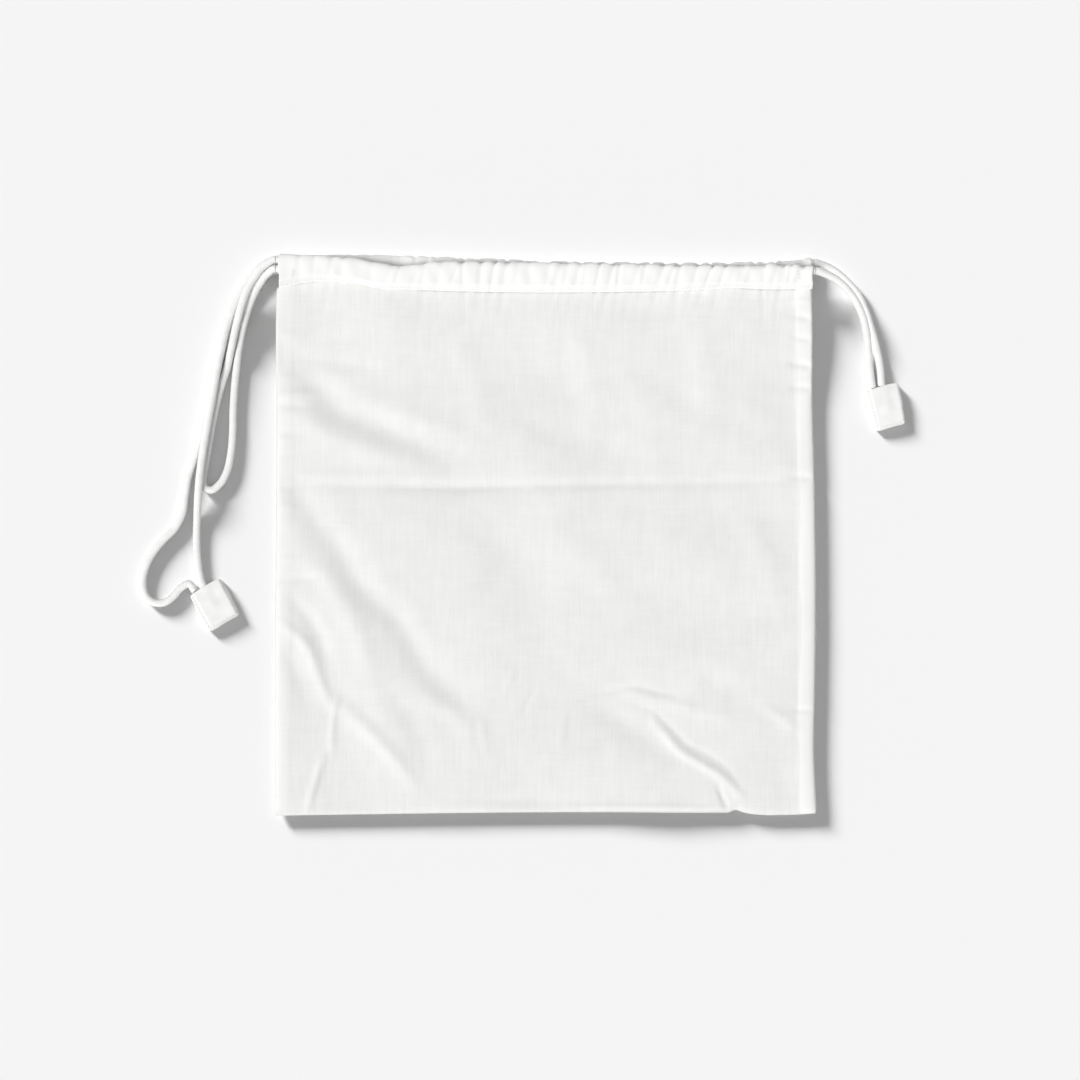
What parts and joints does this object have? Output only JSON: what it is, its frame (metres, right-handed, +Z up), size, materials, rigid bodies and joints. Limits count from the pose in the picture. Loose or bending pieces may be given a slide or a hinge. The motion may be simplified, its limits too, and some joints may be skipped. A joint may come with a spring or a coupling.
{
  "type": "shoe bag",
  "caption": "Flat white cotton shoe bag with a channel along each side of its mouth and a drawstring loop from each end, its cord ends sewn into cloth tabs.",
  "frame": {"origin": "middle of the cloth bag's outline, on the surface it lies on", "axes": "+X across the bag towards its right edge, +Y towards the mouth, +Z up from the back panel"},
  "size_m": [0.4973, 0.362, 0.0173],
  "materials": {
    "cotton_cloth": "matt plain-woven white cotton",
    "cotton_cord": "matt braided white cotton",
    "sewing_thread": "matt white sewing thread"
  },
  "bodies": {
    "bag": {"back_panel": "cotton_cloth", "front_panel": "cotton_cloth", "bottom_fold": "cotton_cloth", "left_side_seam": "cotton_cloth", "right_side_seam": "cotton_cloth", "left_seam_stitching": "sewing_thread", "right_seam_stitching": "sewing_thread", "front_channel": "cotton_cloth", "back_channel": "cotton_cloth", "front_hem_stitching": "sewing_thread", "back_hem_stitching": "sewing_thread", "left_bar_tacks": "sewing_thread", "right_bar_tacks": "sewing_thread", "left_cord_run": "cotton_cord", "right_cord_mouth": "cotton_cord"},
    "left_tail": {"right_cord_loop": "cotton_cord", "left_cord_strand_upper": "cotton_cord", "left_cord_strand_lower": "cotton_cord", "left_tab": "cotton_cloth", "left_tab_cord_ends": "cotton_cord", "left_tab_stitching": "sewing_thread"},
    "right_cord": {"right_cord_run": "cotton_cord"},
    "right_tail": {"right_cord_strand_outer": "cotton_cord", "right_cord_strand_inner": "cotton_cord", "right_tab": "cotton_cloth", "right_tab_cord_ends": "cotton_cord", "right_tab_stitching": "sewing_thread"}
  },
  "joints": [
    {"name": "right_cord_pull", "type": "slide", "parent": "bag", "child": "right_cord", "axis": [1, 0, 0], "range_m": [0, 0.12], "deforming": ["right_cord_loop"]},
    {"name": "right_tail_swing", "type": "hinge", "parent": "right_cord", "child": "right_tail", "pos_m": [0.1733, 0.17275, 0.0088], "axis": [-1, 0, 0], "range_deg": [0, 180]},
    {"name": "left_tail_swing", "type": "hinge", "parent": "bag", "child": "left_tail", "pos_m": [-0.1733, 0.174, 0.0088], "axis": [-1, 0, 0], "range_deg": [0, 180]}
  ]
}
